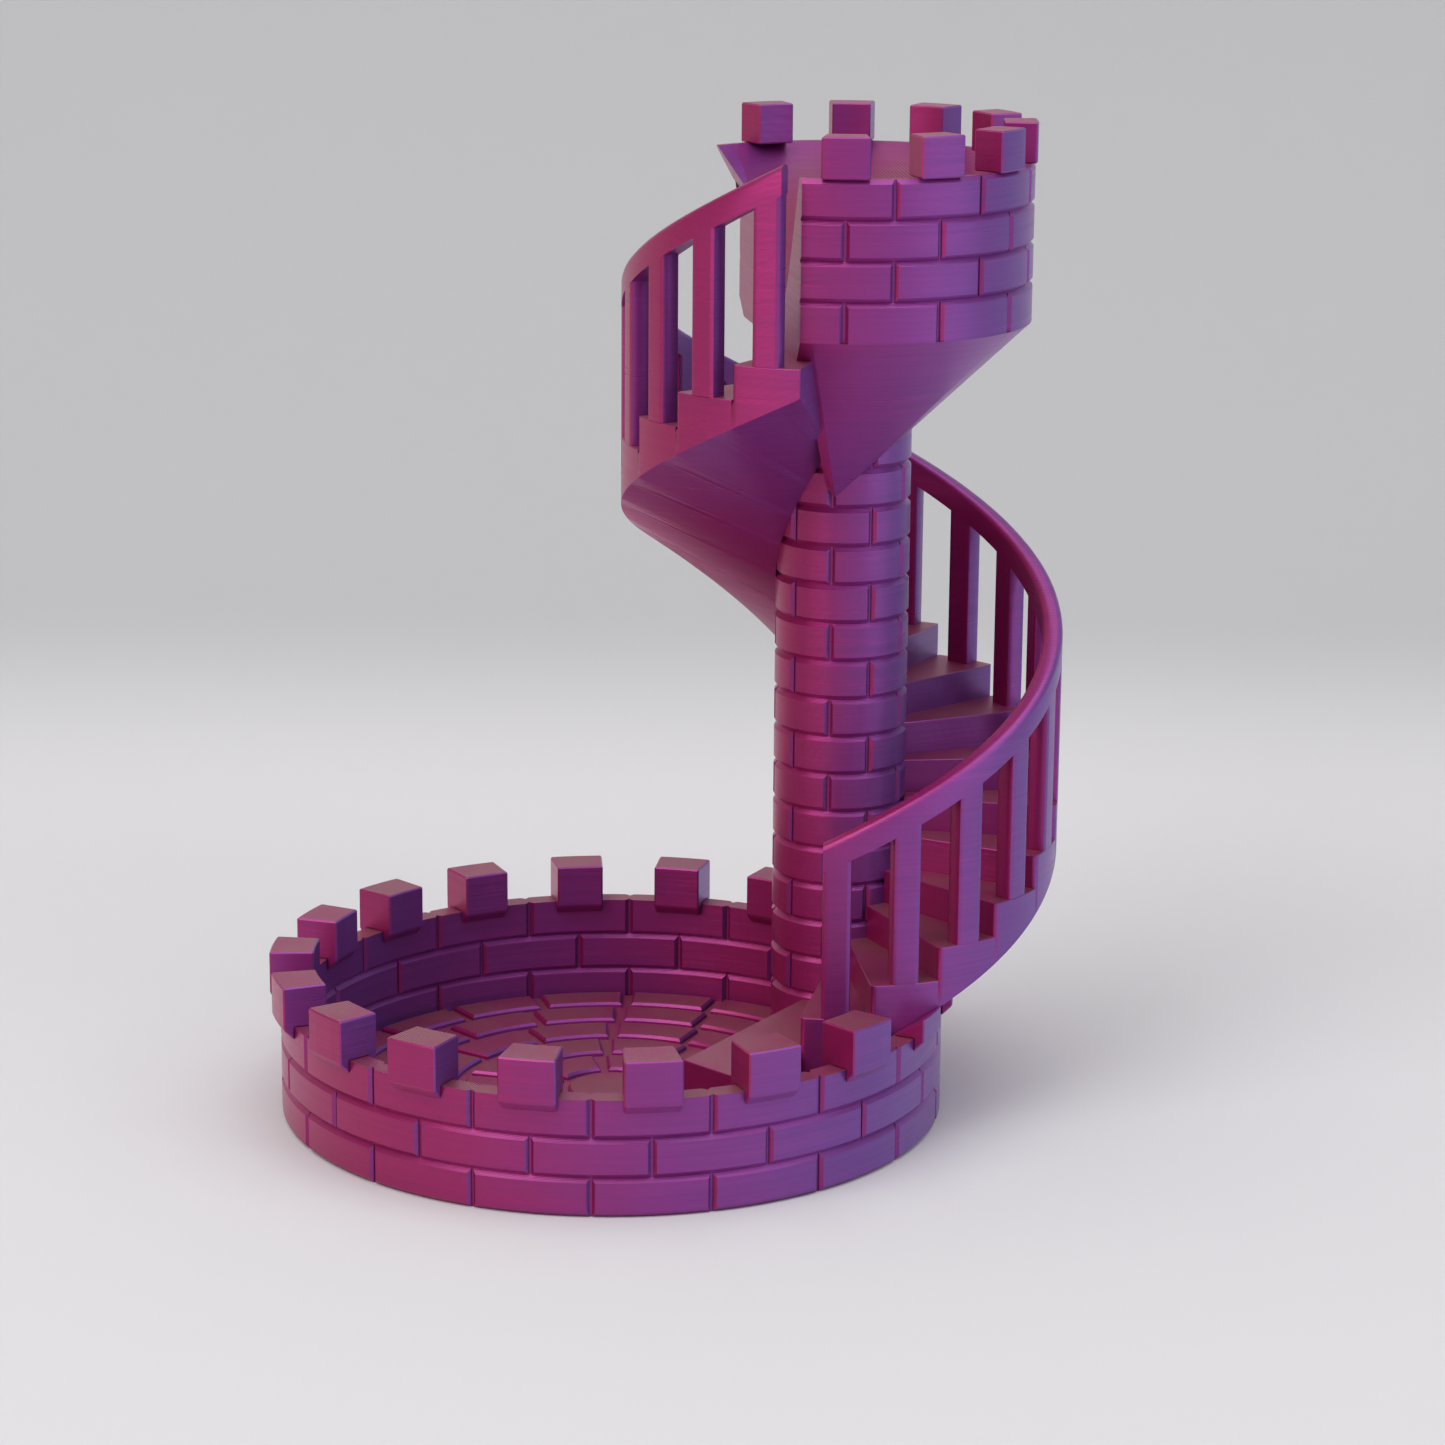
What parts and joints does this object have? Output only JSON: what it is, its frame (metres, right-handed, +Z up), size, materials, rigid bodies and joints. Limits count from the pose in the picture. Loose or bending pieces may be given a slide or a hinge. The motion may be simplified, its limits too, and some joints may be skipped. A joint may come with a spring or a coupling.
{
  "type": "dice tower",
  "caption": "Castle dice tower: a round brick tray, a spiral stair with a railing round a brick column, and a battlemented funnel that feeds dice onto the top tread",
  "frame": {"origin": "centre of the round tray, on the flat underside that stands on the table", "axes": "+Z up out of the tray; +X from the centre of the tray toward the column; +Y to the left of +X seen from above"},
  "size_m": [0.1467, 0.124, 0.1773],
  "materials": {
    "tray": "silk, two-colour",
    "column": "silk, two-colour",
    "stair": "silk, two-colour",
    "funnel": "silk, two-colour"
  },
  "bodies": {
    "root": {"tray_base": "tray", "centre_stone": "tray", "paving_ring_1": "tray", "paving_ring_2": "tray", "paving_ring_3": "tray", "paving_ring_4": "tray", "paving_ring_5": "tray", "wall_course_1": "tray", "wall_course_2": "tray", "wall_course_3": "tray", "tray_merlons": "tray", "column_foot": "column", "column_lower_courses": "column", "column_middle_courses": "column", "column_upper_courses": "column", "landing": "stair", "tread_01": "stair", "tread_02": "stair", "tread_03": "stair", "tread_04": "stair", "tread_05": "stair", "tread_06": "stair", "tread_07": "stair", "tread_08": "stair", "tread_09": "stair", "tread_10": "stair", "tread_11": "stair", "tread_12": "stair", "tread_13": "stair", "tread_14": "stair", "tread_15": "stair", "tread_16": "stair", "tread_17": "stair", "tread_18": "stair", "tread_19": "stair", "tread_20": "stair", "balusters": "stair", "handrail": "stair", "funnel_bowl": "funnel", "parapet_course_1": "funnel", "parapet_course_2": "funnel", "parapet_course_3": "funnel", "parapet_course_4": "funnel", "parapet_merlons": "funnel"}
  },
  "joints": []
}
